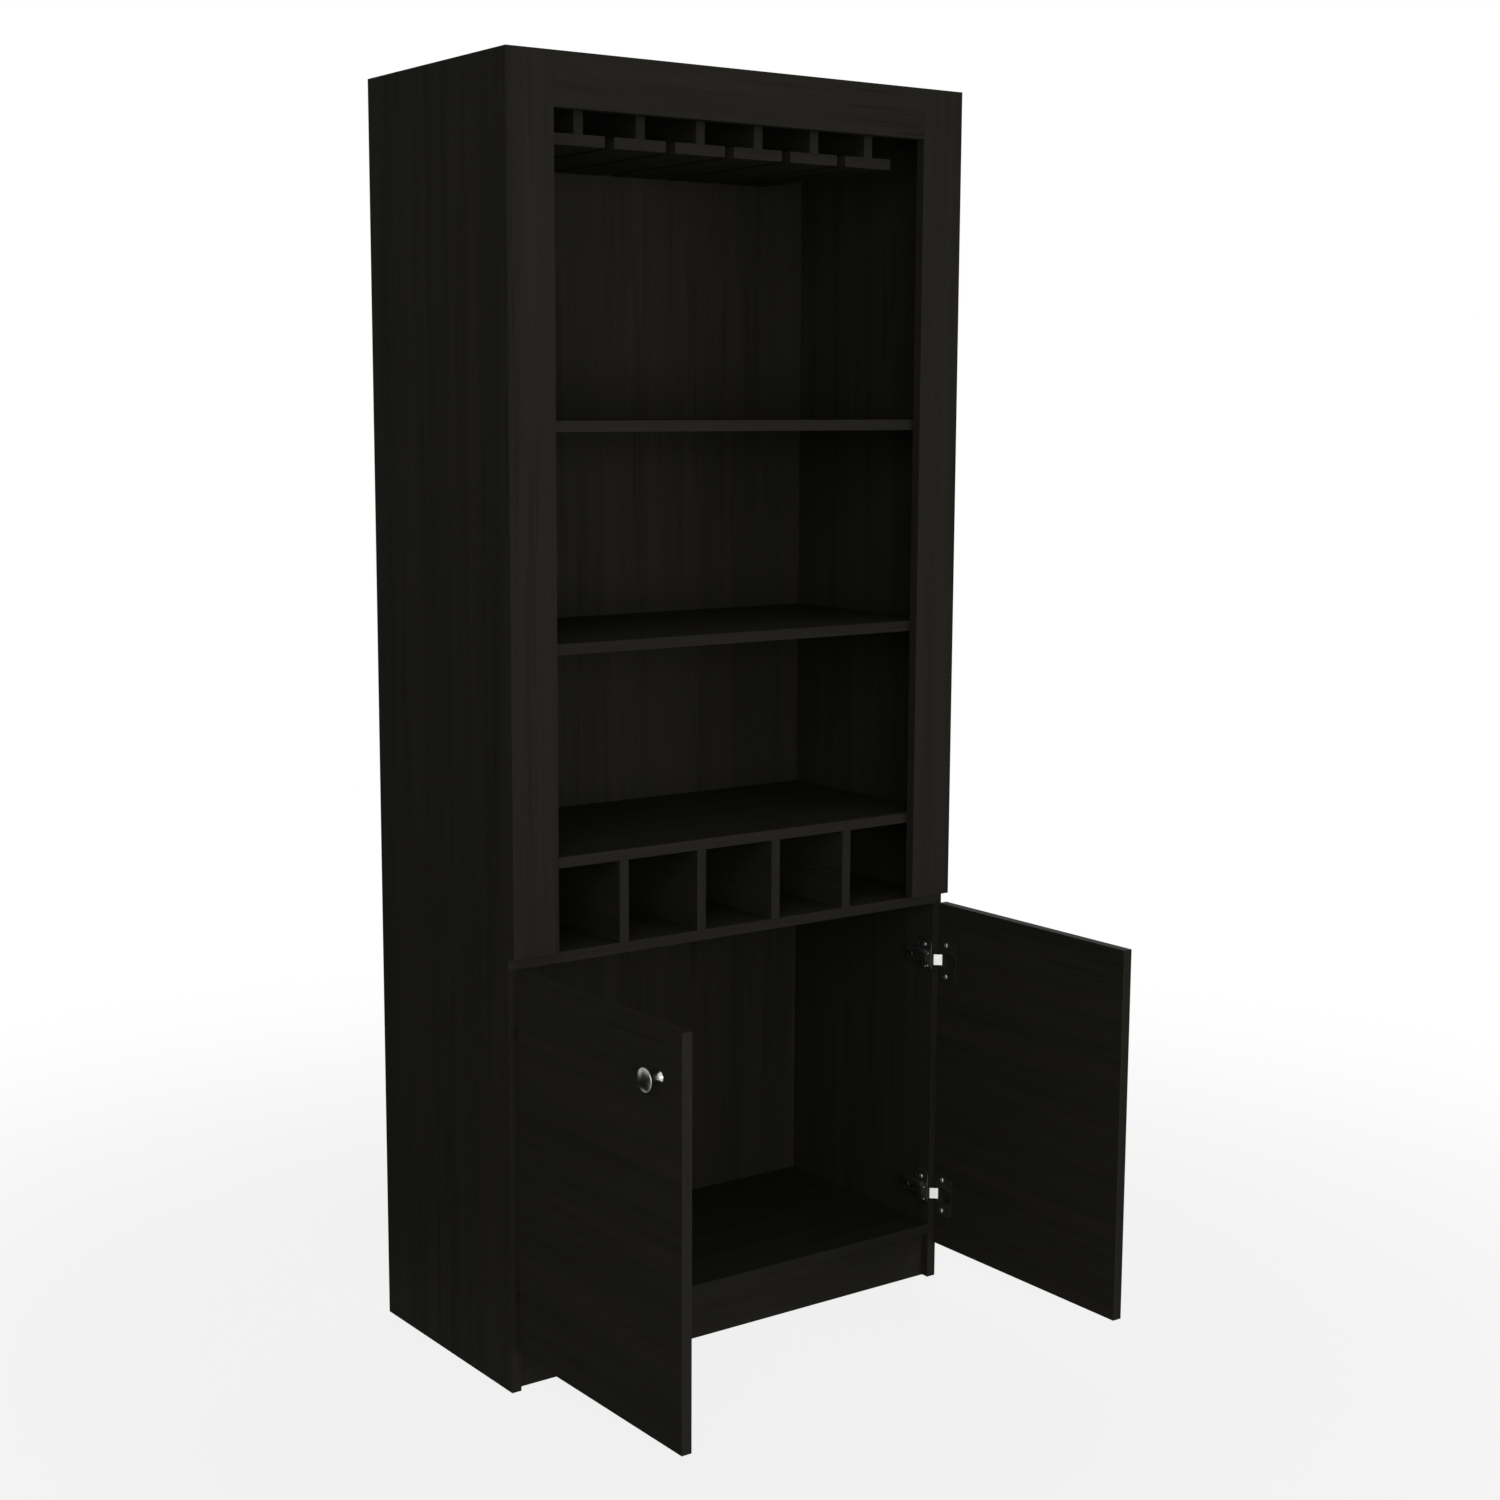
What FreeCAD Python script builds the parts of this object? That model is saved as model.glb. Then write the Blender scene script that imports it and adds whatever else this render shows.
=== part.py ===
import FreeCAD, Part
import math
import os

# Bar armoire in dark board: an open bar above, a wine rack, and a cupboard with two doors below.
# Millimetres, +Z up, the front faces -Y, +X to the right. The origin is the middle of the toe
# kick's underside, on the floor. The doors are made closed and then swung to the resting angle.

os.makedirs("parts", exist_ok=True)
Vector = FreeCAD.Vector

# Overall size and stock
CABINET_WIDTH = 762.0
CABINET_HEIGHT = 1775.0
SIDE_DEPTH = 352.0
BOARD = 15.0
ARRIS = 0.4
OVERRUN = 5.0
FIT = 0.1

# Clear heights from the floor up; the glass bay takes what is left under the top
KICK_HEIGHT = 70.0
CUPBOARD_HEIGHT = 504.0
CUBBY_HEIGHT = 114.0
MIDDLE_BAY_HEIGHT = 271.0
UPPER_BAY_HEIGHT = 277.0

# Plinth and back
TOE_SETBACK = 12.0
BACK_PANEL = 5.0
BACK_SETBACK = 11.5
GROOVE_DEPTH = 6.0
GROOVE_PLAY = 0.2
PANEL_JOINT = 1.0

# Face frame
STILE_WIDTH = 71.0
RAIL_HEIGHT = 70.0
FRAME_LIFT = 2.0

# Wine rack
DIVIDER_PITCH = 130.2
DIVIDER_COUNT = 4

# Stemware rack
TEE_COUNT = 6
TEE_PITCH = 97.8
TEE_PLATE_WIDTH = 83.0
TEE_FRONT = 30.0
TEE_LENGTH = 300.0
TEE_WEB_HEIGHT = 80.5

# Doors
DOOR_GAP = 2.0
DOOR_EDGE_INSET = 1.0
DOOR_MEETING_GAP = 3.0
DOOR_TOP_DROP = 13.0
DOOR_FOOT_DROP = 8.0
REST_OPENING_DEG = 90.0

# Knobs
KNOB_INSET = 45.0
KNOB_DROP = 64.0
KNOB_FOOT_RADIUS = 7.5
KNOB_FOOT = 1.6
KNOB_NECK_RADIUS = 4.8
KNOB_BASE_LENGTH = 17.5
KNOB_HEAD_RADIUS = 15.3
KNOB_RIM_START = 4.8
KNOB_RIM_THICKNESS = 2.6
KNOB_RIM_BULGE = 0.8
KNOB_HEAD_LENGTH = 11.8
KNOB_CROWN_FLAT = 0.6
KNOB_SCREW_RADIUS = 2.0
KNOB_SCREW_IN_DOOR = 11.0
KNOB_SCREW_BITE = 5.0

# Hinge: along is measured on the door from its hinge edge, depth from its back face outwards
HINGE_DROP = 86.0
HINGE_RISE = 80.0
POLE_ALONG = 1.8
POLE_DEPTH = 15.5
CUP_BORE_RADIUS = 17.5
CUP_EDGE = 4.5
CUP_WALL = 0.6
CUP_DEPTH = 11.8
CUP_FLANGE = 1.2
FLANGE_HALF_HEIGHT = 31.0
FLANGE_HALF_WIDTH = 18.0
FLANGE_CORNER = 6.0
FLANGE_NOTCH_ALONG = 12.0
FLANGE_NOTCH_HALF = 9.2
CUP_MOUTH_HALF = 10.8
CUP_SCREW_ALONG = 18.5
CUP_SCREW_HALF = 24.0
SMALL_SCREW_RADIUS = 1.75
SMALL_SCREW_LENGTH = 11.0
SMALL_HEAD_RADIUS = 3.6
SMALL_HEAD = 1.6

# Hinge arm: inward is measured from the door's closed hinge edge, back from its closed back face
ARM_PIN_INWARD = 32.9
ARM_PIN_BACK = -8.3
ARM_NOSE_RADIUS = 2.2
ARM_SHEET = 1.2
ARM_INNER_HALF = 8.5
ARM_FOOT_INWARD = 17.5
ARM_THROAT_INWARD = 22.0
ARM_THROAT_BACK = 4.0
ARM_FOOT_BACK = 7.0
ARM_SEAT_INWARD = 26.0
ARM_CRANK_BACK = 4.0
ARM_SEAT_BACK = 12.0
ARM_TAIL_BACK = 49.0
ARM_WEB_START = -5.0
ARM_SLOT_START = 26.0
ARM_SLOT_HALF = 2.4
PIN_RADIUS = 1.2
PIN_PLAY = 0.3
PIN_HEAD_RADIUS = 1.9
PIN_HEAD = 0.4
LINK_SHEET = 1.4
LINK_HALF_HEIGHT = 8.1
LINK_BEND_ALONG = 9.1
LINK_BEND_DEPTH = 0.0
LINK_END_ALONG = 9.4
LINK_END_DEPTH = 2.0

# Hinge mounting plate
WING = 2.0
WING_BACK = 18.0
WING_HALF_WIDTH = 14.5
WING_HALF_HEIGHT = 27.0
WING_CORNER = 9.0
WING_SLOT_BACK = 28.0
WING_SLOT_RISE = 16.0
WING_SLOT_HALF_WIDTH = 1.9
WING_SLOT_HALF_HEIGHT = 4.5
WING_SLOT_CORNER = 1.6
PLATE_SCREW_HALF = 16.0
RAIL_FRONT_BACK = 8.0
RAIL_REAR_BACK = 46.0
RAIL_HALF = 8.0
RAIL_SLOT_DEPTH = 5.0
ARM_SCREW_BACK = 37.0
ARM_SCREW_RADIUS = 2.0
ARM_SCREW_HEAD_RADIUS = 3.4
ARM_SCREW_HEAD = 2.2

# Joinery
CROSS_LENGTH = 3.8
CROSS_WIDTH = 0.9
CROSS_DEPTH = 1.1
CAM_RADIUS = 7.5
CAM_HEIGHT = 12.0
CAM_CROSS_LENGTH = 8.0
CAM_CROSS_WIDTH = 1.6
CAM_CROSS_DEPTH = 2.4
CAM_REACH = 34.0
CAM_INSET = 50.0
BOLT_RADIUS = 3.0
BOLT_IN_SIDE = 11.0
DOWEL_RADIUS = 4.0
DOWEL_IN_SIDE = 10.0
DOWEL_IN_BOARD = 20.0
DOWEL_INSET = 24.0
PEG_RADIUS = 3.0
PEG_IN_FACE = 8.0
PEG_IN_EDGE = 16.0
PEG_INSET = 40.0
NAIL_RADIUS = 0.8
NAIL_HEAD_RADIUS = 2.0
NAIL_HEAD = 0.8
NAIL_LENGTH = 22.0

# Shares of a length at which repeated fasteners stand
FRAME_PEG_SHARES = (0.10, 0.37, 0.63, 0.90)
RAIL_JOINT_SHARES = (0.3, 0.7)
TOP_PEG_SHARES = (-0.5, 0.5)
KICK_PEG_SHARES = (-0.7, 0.0, 0.7)
NAIL_SHARES = (-0.8, 0.0, 0.8)

# How much of a screw head's height is rounded over
PAN_SHARE = 0.65

# Middle points of the knob's curves: how far along, and how far from the first radius to the second
FLARE_SHARES = (0.35, 0.72)
UNDERCUT_SHARES = (0.62, 0.38)

# Planes shared by several boards
half_width = CABINET_WIDTH / 2
inner = half_width - BOARD
front = -(TOE_SETBACK + BOARD / 2)
rear = front + SIDE_DEPTH
panel_rear = rear - BACK_SETBACK
panel_front = panel_rear - BACK_PANEL
top_under = CABINET_HEIGHT - BOARD
base_top = KICK_HEIGHT + BOARD
rack_floor_top = base_top + CUPBOARD_HEIGHT + BOARD
cubby_ceiling = rack_floor_top + CUBBY_HEIGHT
rack_top = cubby_ceiling + BOARD
middle_shelf_top = rack_top + MIDDLE_BAY_HEIGHT + BOARD
upper_shelf_top = middle_shelf_top + UPPER_BAY_HEIGHT + BOARD
frame_bottom = rack_floor_top + FRAME_LIFT
stile_inner = half_width - STILE_WIDTH
door_top = frame_bottom - DOOR_TOP_DROP
door_edge = half_width - DOOR_EDGE_INSET
door_bottom = KICK_HEIGHT - DOOR_FOOT_DROP
door_back = front - DOOR_GAP
hinge_levels = (door_bottom + HINGE_RISE, door_top - HINGE_DROP)
panel_split = rack_floor_top - BOARD / 2


def block(x0, x1, y0, y1, z0, z1):
    return Part.makeBox(x1 - x0, y1 - y0, z1 - z0, Vector(x0, y0, z0))


def board(x0, x1, y0, y1, z0, z1):
    """A board with every edge eased."""
    raw = block(x0, x1, y0, y1, z0, z1)
    return raw.makeFillet(ARRIS, raw.Edges)


def rod(radius, start, end):
    line = end.sub(start)
    return Part.makeCylinder(radius, line.Length, start, line)


def cut(shape, tools):
    return shape.cut(Part.makeCompound(tools)) if tools else shape


def mirrored(shape):
    return shape.mirror(Vector(0, 0, 0), Vector(1, 0, 0))


def save(name, shapes):
    solids = []
    for shape in shapes:
        solids.extend(shape.Solids)
    whole = solids[0] if len(solids) == 1 else Part.makeCompound(solids)
    whole.exportStep("parts/" + name + ".step")


def cross(centre, line, length, width, depth):
    """A driver's cross recess, sunk into a face at centre that looks along line."""
    turn = FreeCAD.Rotation(Vector(0, 0, 1), line)
    blades = []
    for long_way, wide_way in ((length, width), (width, length)):
        corner = Vector(-long_way / 2, -wide_way / 2, -depth)
        blade = Part.makeBox(long_way, wide_way, depth + OVERRUN, corner)
        blade.rotate(Vector(0, 0, 0), turn.Axis, math.degrees(turn.Angle))
        blade.translate(centre)
        blades.append(blade)
    return blades[0].fuse(blades[1])


def screw(neck, line, radius, length, head_radius, head):
    """A pan-head screw: neck is under its head, and line points from the tip towards the head."""
    crown = neck + line * head
    cap = rod(head_radius, neck, crown)
    rim = [edge for edge in cap.Edges if edge.CenterOfMass.distanceToPoint(crown) < head / 2]
    cap = cap.makeFillet(head * PAN_SHARE, rim)
    cap = cap.cut(cross(crown, line, CROSS_LENGTH, CROSS_WIDTH, CROSS_DEPTH))
    return cap.fuse(rod(radius, neck, neck - line * length))


# Holes are gathered per board here and cut when the board is saved
holes = {}


def drill(name, tool):
    holes.setdefault(name, []).append(tool)


# Cam locks, their bolts and the dowels at both ends of every board that spans the sides
cams, bolts, dowels = [], [], []
spans = {
    "top": (CABINET_HEIGHT, rear),
    "upper_shelf": (upper_shelf_top, panel_front),
    "middle_shelf": (middle_shelf_top, panel_front),
    "rack_top": (rack_top, panel_front),
    "rack_floor": (rack_floor_top, panel_front),
    "base": (base_top, panel_front),
}
for name, (upper, back) in spans.items():
    under = upper - BOARD
    middle = under + BOARD / 2
    for sign, side in ((1, "right_side"), (-1, "left_side")):
        for y in (front + CAM_INSET, panel_front - CAM_INSET):
            seat = Vector(sign * (inner - CAM_REACH), y, under)
            lid = Vector(seat.x, y, under + CAM_HEIGHT)
            tip = Vector(seat.x, y, middle)
            tail = Vector(sign * (inner + BOLT_IN_SIDE), y, middle)
            bore = rod(BOLT_RADIUS + FIT, tail, tip)
            slot = cross(seat, Vector(0, 0, -1), CAM_CROSS_LENGTH, CAM_CROSS_WIDTH, CAM_CROSS_DEPTH)
            cams.append(rod(CAM_RADIUS, seat, lid).cut(bore).cut(slot))
            bolts.append(rod(BOLT_RADIUS, tail, tip))
            drill(name, rod(CAM_RADIUS + FIT, seat, lid))
            drill(name, bore)
            drill(side, bore)
        for y in (front + DOWEL_INSET, panel_front - DOWEL_INSET):
            deep = Vector(sign * (inner + DOWEL_IN_SIDE), y, middle)
            end = Vector(sign * (inner - DOWEL_IN_BOARD), y, middle)
            dowels.append(rod(DOWEL_RADIUS, deep, end))
            drill(name, rod(DOWEL_RADIUS + FIT, deep, end))
            drill(side, rod(DOWEL_RADIUS + FIT, deep, end))


def peg(group, start, end, *names):
    """A small dowel from start to end with its hole in each named board."""
    group.append(rod(PEG_RADIUS, start, end))
    for name in names:
        drill(name, rod(PEG_RADIUS + FIT, start, end))


# Toe kick pegs: up into the base, and sideways into the sides
for share in KICK_PEG_SHARES:
    x = share * inner
    start = Vector(x, 0, KICK_HEIGHT + PEG_IN_FACE)
    peg(dowels, start, Vector(x, 0, KICK_HEIGHT - PEG_IN_EDGE), "base", "toe_kick")
for sign, side in ((1, "right_side"), (-1, "left_side")):
    level = KICK_HEIGHT / 2
    start = Vector(sign * (inner + PEG_IN_FACE), 0, level)
    peg(dowels, start, Vector(sign * (inner - PEG_IN_EDGE), 0, level), side, "toe_kick")

# Wine rack dividers and their pegs
divider_pegs = []
dividers = []
for index in range(DIVIDER_COUNT):
    name = "rack_divider_%d" % (index + 1)
    x = (index - (DIVIDER_COUNT - 1) / 2) * DIVIDER_PITCH
    dividers.append((name, x))
    for y in (front + PEG_INSET, panel_front - PEG_INSET):
        low = Vector(x, y, rack_floor_top - PEG_IN_FACE)
        peg(divider_pegs, low, Vector(x, y, rack_floor_top + PEG_IN_EDGE), "rack_floor", name)
        high = Vector(x, y, cubby_ceiling + PEG_IN_FACE)
        peg(divider_pegs, high, Vector(x, y, cubby_ceiling - PEG_IN_EDGE), "rack_top", name)

# Stemware tees: each a web pegged under the top, with a plate pegged under the web
tee_pegs = []
tee_start = front + TEE_FRONT
tee_end = tee_start + TEE_LENGTH
plate_top = top_under - TEE_WEB_HEIGHT
plate_under = plate_top - BOARD
tee_places = []
for index in range(TEE_COUNT):
    x = (index - (TEE_COUNT - 1) / 2) * TEE_PITCH
    web = "stem_rail_web_%d" % (index + 1)
    plate = "stem_rail_plate_%d" % (index + 1)
    tee_places.append((x, web, plate))
    for y in (tee_start + PEG_INSET, tee_end - PEG_INSET):
        high = Vector(x, y, top_under + PEG_IN_FACE)
        peg(tee_pegs, high, Vector(x, y, top_under - PEG_IN_EDGE), "top", web)
        low = Vector(x, y, plate_top - PEG_IN_FACE)
        peg(tee_pegs, low, Vector(x, y, plate_top + PEG_IN_EDGE), plate, web)

# Face frame pegs: stiles onto the sides, the rail onto the top, and the stiles onto the rail
frame_pegs = []
frame_middle = front - BOARD / 2
for sign, side, stile in ((1, "right_side", "right_stile"), (-1, "left_side", "left_stile")):
    for share in FRAME_PEG_SHARES:
        level = frame_bottom + share * (CABINET_HEIGHT - frame_bottom)
        x = sign * (inner + BOARD / 2)
        start = Vector(x, front - PEG_IN_FACE, level)
        peg(frame_pegs, start, Vector(x, front + PEG_IN_EDGE, level), stile, side)
    for share in RAIL_JOINT_SHARES:
        level = CABINET_HEIGHT - share * RAIL_HEIGHT
        start = Vector(sign * (stile_inner + PEG_IN_EDGE), frame_middle, level)
        end = Vector(sign * (stile_inner - PEG_IN_EDGE), frame_middle, level)
        peg(frame_pegs, start, end, stile, "frame_rail")
for share in TOP_PEG_SHARES:
    x = share * inner
    level = top_under + BOARD / 2
    start = Vector(x, front - PEG_IN_FACE, level)
    peg(frame_pegs, start, Vector(x, front + PEG_IN_EDGE, level), "frame_rail", "top")

# Nails through the back panels into the rear edges of the fixed boards
nails = []
for name in ("upper_shelf", "middle_shelf", "rack_top", "rack_floor", "base"):
    level = spans[name][0] - BOARD / 2
    panel = "back_panel_upper"
    if name == "rack_floor":
        level = level + BOARD / 4
    if name == "base":
        panel = "back_panel_lower"
    for share in NAIL_SHARES:
        x = share * inner
        crown = Vector(x, panel_rear + NAIL_HEAD, level)
        neck = Vector(x, panel_rear, level)
        tip = Vector(x, panel_rear - NAIL_LENGTH, level)
        nails.append(rod(NAIL_HEAD_RADIUS, neck, crown).fuse(rod(NAIL_RADIUS, neck, tip)))
        drill(panel, rod(NAIL_RADIUS + FIT, neck, tip))
        drill(name, rod(NAIL_RADIUS + FIT, neck, tip))


# Hinge places on the right hand; the left hand is the mirror image
def at(inward, back, level):
    """World point from a place measured inward and back from the closed door's hinge edge."""
    return Vector(door_edge - inward, door_back + back, level)


def prism(points, low, high):
    """Straight-sided solid on an outline given inward and back, from one level to another."""
    corners = [at(inward, back, low) for inward, back in points]
    face = Part.Face(Part.makePolygon(corners + corners[:1]))
    return face.extrude(Vector(0, 0, high - low))


def swing(along, depth):
    """Where a point of the door comes to, inward and back, at the resting angle."""
    turn = math.radians(REST_OPENING_DEG)
    dx = along - POLE_ALONG
    dy = POLE_DEPTH - depth
    return (POLE_ALONG + dx * math.cos(turn) + dy * math.sin(turn),
            -POLE_DEPTH - dx * math.sin(turn) + dy * math.cos(turn))


def rounded_plate(x0, x1, half_width_y, half_height, corner, middle_y, middle_z):
    """A plate lying against an X plane with its four outline corners rounded."""
    raw = block(x0, x1, middle_y - half_width_y, middle_y + half_width_y,
                middle_z - half_height, middle_z + half_height)
    edges = [edge for edge in raw.Edges if abs(edge.tangentAt(edge.FirstParameter).x) > 0.5]
    return raw.makeFillet(corner, edges)


side_inward = door_edge - inner
arm_outer_half = ARM_INNER_HALF + ARM_SHEET
nose_right = ARM_PIN_INWARD + ARM_NOSE_RADIUS
nose_left = ARM_PIN_INWARD - ARM_NOSE_RADIUS
web_inner = nose_right - ARM_SHEET
seat_inner = ARM_SEAT_INWARD - ARM_SHEET
cup_along = CUP_EDGE + CUP_BORE_RADIUS
plates, arms, pins, links, plate_screws, arm_screws = [], [], [], [], [], []
cups, cup_screws, door_bores = [], [], []
for level in hinge_levels:
    # Winged mounting plate with the rail that the arm sits on
    wing_x = inner - WING
    wings = rounded_plate(wing_x, inner, WING_HALF_WIDTH, WING_HALF_HEIGHT, WING_CORNER,
                          door_back + WING_BACK, level)
    rail = prism([(side_inward, RAIL_FRONT_BACK), (seat_inner, RAIL_FRONT_BACK),
                  (seat_inner, RAIL_REAR_BACK), (side_inward, RAIL_REAR_BACK)],
                 level - RAIL_HALF, level + RAIL_HALF)
    rail_slot = prism([(seat_inner - RAIL_SLOT_DEPTH, ARM_SLOT_START), (seat_inner, ARM_SLOT_START),
                       (seat_inner, RAIL_REAR_BACK), (seat_inner - RAIL_SLOT_DEPTH, RAIL_REAR_BACK)],
                      level - ARM_SLOT_HALF, level + ARM_SLOT_HALF)
    plate = wings.fuse(rail).removeSplitter().cut(rail_slot)
    for sign in (1, -1):
        plate = plate.cut(rounded_plate(wing_x, inner, WING_SLOT_HALF_WIDTH, WING_SLOT_HALF_HEIGHT,
                                        WING_SLOT_CORNER, door_back + WING_SLOT_BACK,
                                        level + sign * WING_SLOT_RISE))
        z = level + sign * PLATE_SCREW_HALF
        seat = Vector(wing_x, door_back + WING_BACK, z)
        tip = Vector(wing_x + SMALL_SCREW_LENGTH, seat.y, z)
        bore = rod(SMALL_SCREW_RADIUS + FIT, seat, tip)
        plate_screws.append(screw(seat, Vector(-1, 0, 0), SMALL_SCREW_RADIUS, SMALL_SCREW_LENGTH,
                                  SMALL_HEAD_RADIUS, SMALL_HEAD))
        plate = plate.cut(bore)
        drill("right_side", bore)
        drill("left_side", mirrored(bore))
    neck = at(ARM_SEAT_INWARD, ARM_SCREW_BACK, level)
    foot = at(side_inward, ARM_SCREW_BACK, level)
    arm_screws.append(screw(neck, Vector(-1, 0, 0), ARM_SCREW_RADIUS, ARM_SEAT_INWARD - side_inward,
                            ARM_SCREW_HEAD_RADIUS, ARM_SCREW_HEAD))
    plates.append(plate.cut(rod(ARM_SCREW_RADIUS + FIT, neck, foot)))

    # Cranked channel arm with a pin nose at the front and a forked tail
    low, high = level - arm_outer_half, level + arm_outer_half
    pin_low, pin_high = at(ARM_PIN_INWARD, ARM_PIN_BACK, low), at(ARM_PIN_INWARD, ARM_PIN_BACK, high)
    cheek = prism([(nose_right, ARM_PIN_BACK), (nose_right, ARM_CRANK_BACK),
                   (ARM_SEAT_INWARD, ARM_SEAT_BACK), (ARM_SEAT_INWARD, ARM_TAIL_BACK),
                   (ARM_FOOT_INWARD, ARM_TAIL_BACK), (ARM_FOOT_INWARD, ARM_FOOT_BACK),
                   (ARM_THROAT_INWARD, ARM_THROAT_BACK), (nose_left, ARM_PIN_BACK)], low, high)
    nose = rod(ARM_NOSE_RADIUS, pin_low, pin_high)
    hollow = prism([(web_inner, ARM_PIN_BACK - OVERRUN), (web_inner, ARM_CRANK_BACK),
                    (seat_inner, ARM_SEAT_BACK - ARM_SHEET), (seat_inner, ARM_TAIL_BACK + OVERRUN),
                    (ARM_FOOT_INWARD - OVERRUN, ARM_TAIL_BACK + OVERRUN),
                    (ARM_FOOT_INWARD - OVERRUN, ARM_PIN_BACK - OVERRUN)],
                   level - ARM_INNER_HALF, level + ARM_INNER_HALF)
    mouth = prism([(ARM_THROAT_INWARD, ARM_PIN_BACK - OVERRUN),
                   (nose_right + OVERRUN, ARM_PIN_BACK - OVERRUN),
                   (nose_right + OVERRUN, ARM_WEB_START), (ARM_THROAT_INWARD, ARM_WEB_START)],
                  level - ARM_INNER_HALF, level + ARM_INNER_HALF)
    fork = prism([(seat_inner - OVERRUN, ARM_SLOT_START), (ARM_SEAT_INWARD + OVERRUN, ARM_SLOT_START),
                  (ARM_SEAT_INWARD + OVERRUN, ARM_TAIL_BACK + OVERRUN),
                  (seat_inner - OVERRUN, ARM_TAIL_BACK + OVERRUN)],
                 level - ARM_SLOT_HALF, level + ARM_SLOT_HALF)
    arm = cheek.fuse(nose).cut(hollow).cut(mouth).cut(fork).cut(rod(PIN_RADIUS + FIT, pin_low, pin_high))
    arms.append(arm.removeSplitter())
    lower_head = rod(PIN_HEAD_RADIUS, at(ARM_PIN_INWARD, ARM_PIN_BACK, low - PIN_HEAD), pin_low)
    upper_head = rod(PIN_HEAD_RADIUS, pin_high, at(ARM_PIN_INWARD, ARM_PIN_BACK, high + PIN_HEAD))
    pins.append(rod(PIN_RADIUS, pin_low, pin_high).fuse(lower_head).fuse(upper_head))

    # Link: a bent strip from the arm's pin into the cup, drawn with the door at rest
    bend = swing(LINK_BEND_ALONG, LINK_BEND_DEPTH)
    tip = swing(LINK_END_ALONG, LINK_END_DEPTH)
    low, high = level - LINK_HALF_HEIGHT, level + LINK_HALF_HEIGHT
    pin = (ARM_PIN_INWARD, ARM_PIN_BACK)
    strip = rod(ARM_NOSE_RADIUS, at(*pin, low), at(*pin, high))
    for start, end in ((pin, bend), (bend, tip)):
        du, dv = end[0] - start[0], end[1] - start[1]
        length = math.hypot(du, dv)
        ou, ov = -dv / length * LINK_SHEET / 2, du / length * LINK_SHEET / 2
        leg = prism([(start[0] + ou, start[1] + ov), (end[0] + ou, end[1] + ov),
                     (end[0] - ou, end[1] - ov), (start[0] - ou, start[1] - ov)], low, high)
        strip = strip.fuse(leg).fuse(rod(LINK_SHEET / 2, at(*end, low), at(*end, high)))
    links.append(strip.removeSplitter().cut(rod(PIN_RADIUS + PIN_PLAY, pin_low, pin_high)))

    # Cup in the closed door, its flange lipped over the bowl above and below the arm's way in
    mouth_centre = at(cup_along, 0, level)
    outside = rod(CUP_BORE_RADIUS - FIT, mouth_centre, at(cup_along, -CUP_DEPTH, level))
    bowl = CUP_BORE_RADIUS - FIT - CUP_WALL
    inside = rod(bowl, mouth_centre, at(cup_along, CUP_WALL - CUP_DEPTH, level))
    opening = rod(bowl, at(cup_along, -CUP_WALL, level), at(cup_along, CUP_FLANGE, level))
    opening = opening.common(block(mouth_centre.x - bowl, mouth_centre.x + bowl, door_back - CUP_WALL,
                                   door_back + CUP_FLANGE, level - CUP_MOUTH_HALF, level + CUP_MOUTH_HALF))
    flat = block(mouth_centre.x - FLANGE_HALF_WIDTH, mouth_centre.x + FLANGE_HALF_WIDTH, door_back,
                 door_back + CUP_FLANGE, level - FLANGE_HALF_HEIGHT, level + FLANGE_HALF_HEIGHT)
    corners = [edge for edge in flat.Edges if abs(edge.tangentAt(edge.FirstParameter).y) > 0.5]
    flat = flat.makeFillet(FLANGE_CORNER, corners)
    notch = prism([(-OVERRUN, 0), (FLANGE_NOTCH_ALONG, 0), (FLANGE_NOTCH_ALONG, CUP_FLANGE + OVERRUN),
                   (-OVERRUN, CUP_FLANGE + OVERRUN)],
                  level - FLANGE_NOTCH_HALF, level + FLANGE_NOTCH_HALF)
    cup = outside.fuse(flat).cut(inside).cut(opening).cut(notch)
    door_bores.append(rod(CUP_BORE_RADIUS, mouth_centre, at(cup_along, -CUP_DEPTH, level)))
    for sign in (1, -1):
        z = level + sign * CUP_SCREW_HALF
        seat = at(CUP_SCREW_ALONG, CUP_FLANGE, z)
        tip = at(CUP_SCREW_ALONG, CUP_FLANGE - SMALL_SCREW_LENGTH, z)
        bore = rod(SMALL_SCREW_RADIUS + FIT, seat, tip)
        cup_screws.append(screw(seat, Vector(0, 1, 0), SMALL_SCREW_RADIUS, SMALL_SCREW_LENGTH,
                                SMALL_HEAD_RADIUS, SMALL_HEAD))
        cup = cup.cut(bore)
        door_bores.append(bore)
    cups.append(cup.removeSplitter())

# Right door with its knob, closed
door_face = door_back - BOARD
door_free = DOOR_MEETING_GAP / 2
knob_x = door_free + KNOB_INSET
knob_z = door_top - KNOB_DROP


def knob_place(out, radius=0):
    """A point on the knob's profile, out from the door's face and off the knob's axis."""
    return Vector(knob_x + radius, door_face - out, knob_z)


def between(first, last, shares):
    """The middle point of a curve from one profile point to another."""
    along, across = shares
    return Vector(first.x + (last.x - first.x) * across, first.y + (last.y - first.y) * along, first.z)


def turned(edges):
    """Solid of revolution from a profile's edges, closed along the knob's axis."""
    first = edges[0].Vertexes[0].Point
    last = edges[-1].Vertexes[-1].Point
    foot, crown = Vector(knob_x, first.y, knob_z), Vector(knob_x, last.y, knob_z)
    closing = [Part.makeLine(foot, first)] + edges
    if last.distanceToPoint(crown) > ARRIS:
        closing.append(Part.makeLine(last, crown))
    face = Part.Face(Part.Wire(closing + [Part.makeLine(crown, foot)]))
    return face.revolve(foot, Vector(0, 1, 0), 360).Solids[0]


def curve(first, last, shares):
    return Part.Arc(first, between(first, last, shares), last).toShape()


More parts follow.
